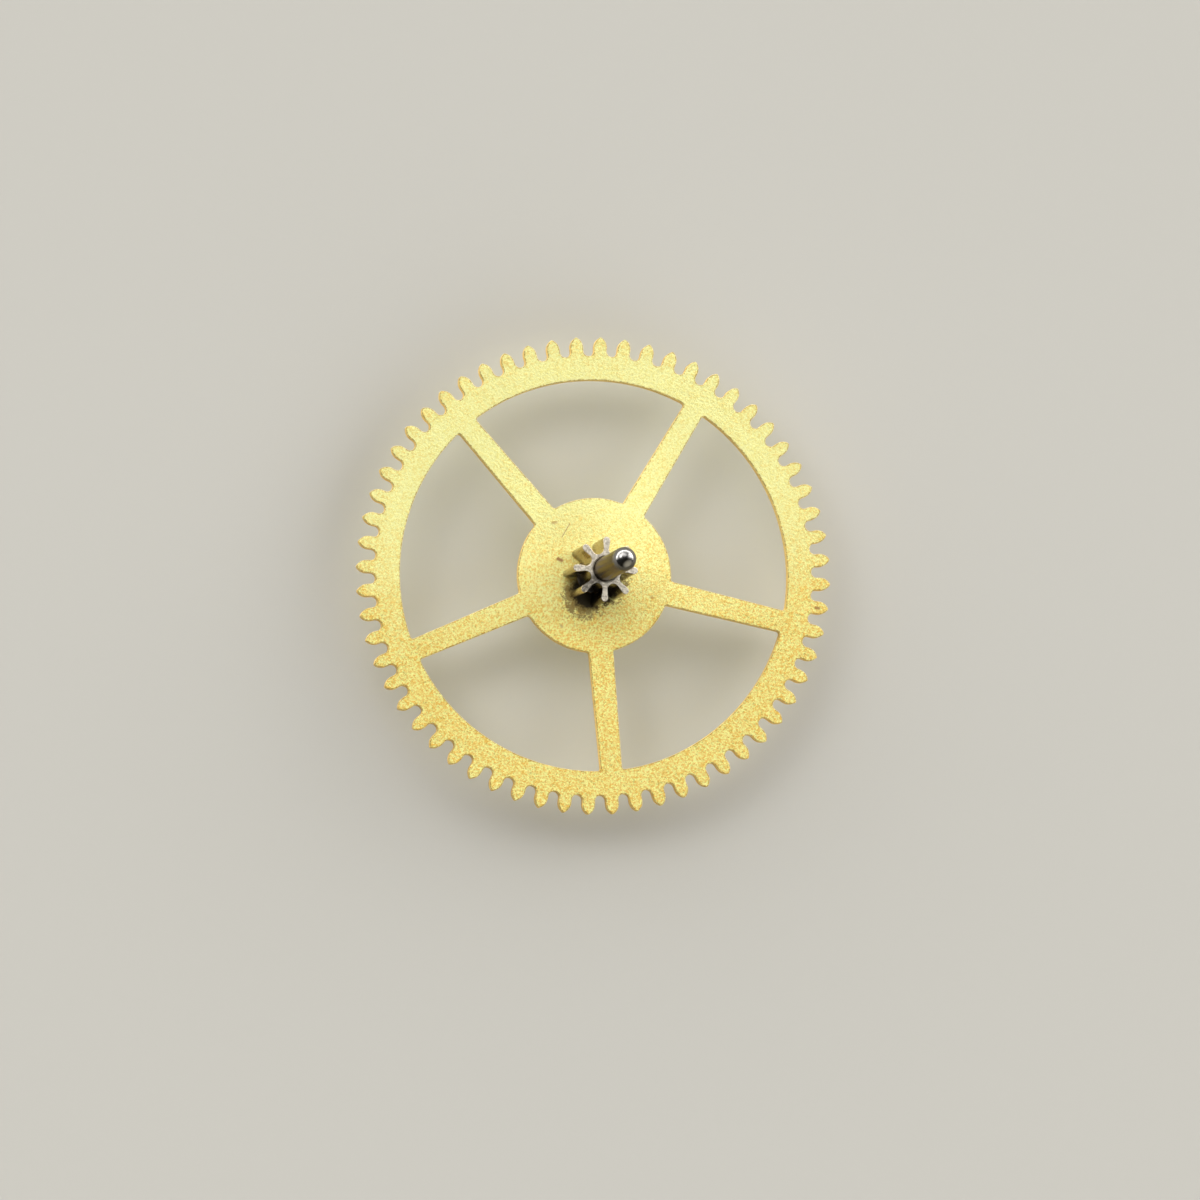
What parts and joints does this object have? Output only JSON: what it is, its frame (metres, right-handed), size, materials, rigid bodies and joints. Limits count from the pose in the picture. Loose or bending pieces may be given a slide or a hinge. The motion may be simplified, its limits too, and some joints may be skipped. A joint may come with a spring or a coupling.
{
  "type": "watch third wheel",
  "caption": "Toothed brass wheel with spokes, riveted on a steel pinion whose arbor has a round end above and a round-ended pivot below.",
  "frame": {"origin": "tip of the lower pivot, on the arbor's axis", "axes": "+Z along the arbor, from the wheel to the pinion and the upper pivot; the centre line of one spoke points along -Y"},
  "size_m": [0.0082, 0.0082, 0.0043],
  "materials": {
    "gilt_brass": "fine frosted gilding on the faces, bare metal in the tooth gaps",
    "pinion_steel": "polished arbor and pivots, greyed leaf ends"
  },
  "bodies": {
    "root": {"toothed_wheel": "gilt_brass", "pinion_arbor": "pinion_steel"}
  },
  "joints": []
}
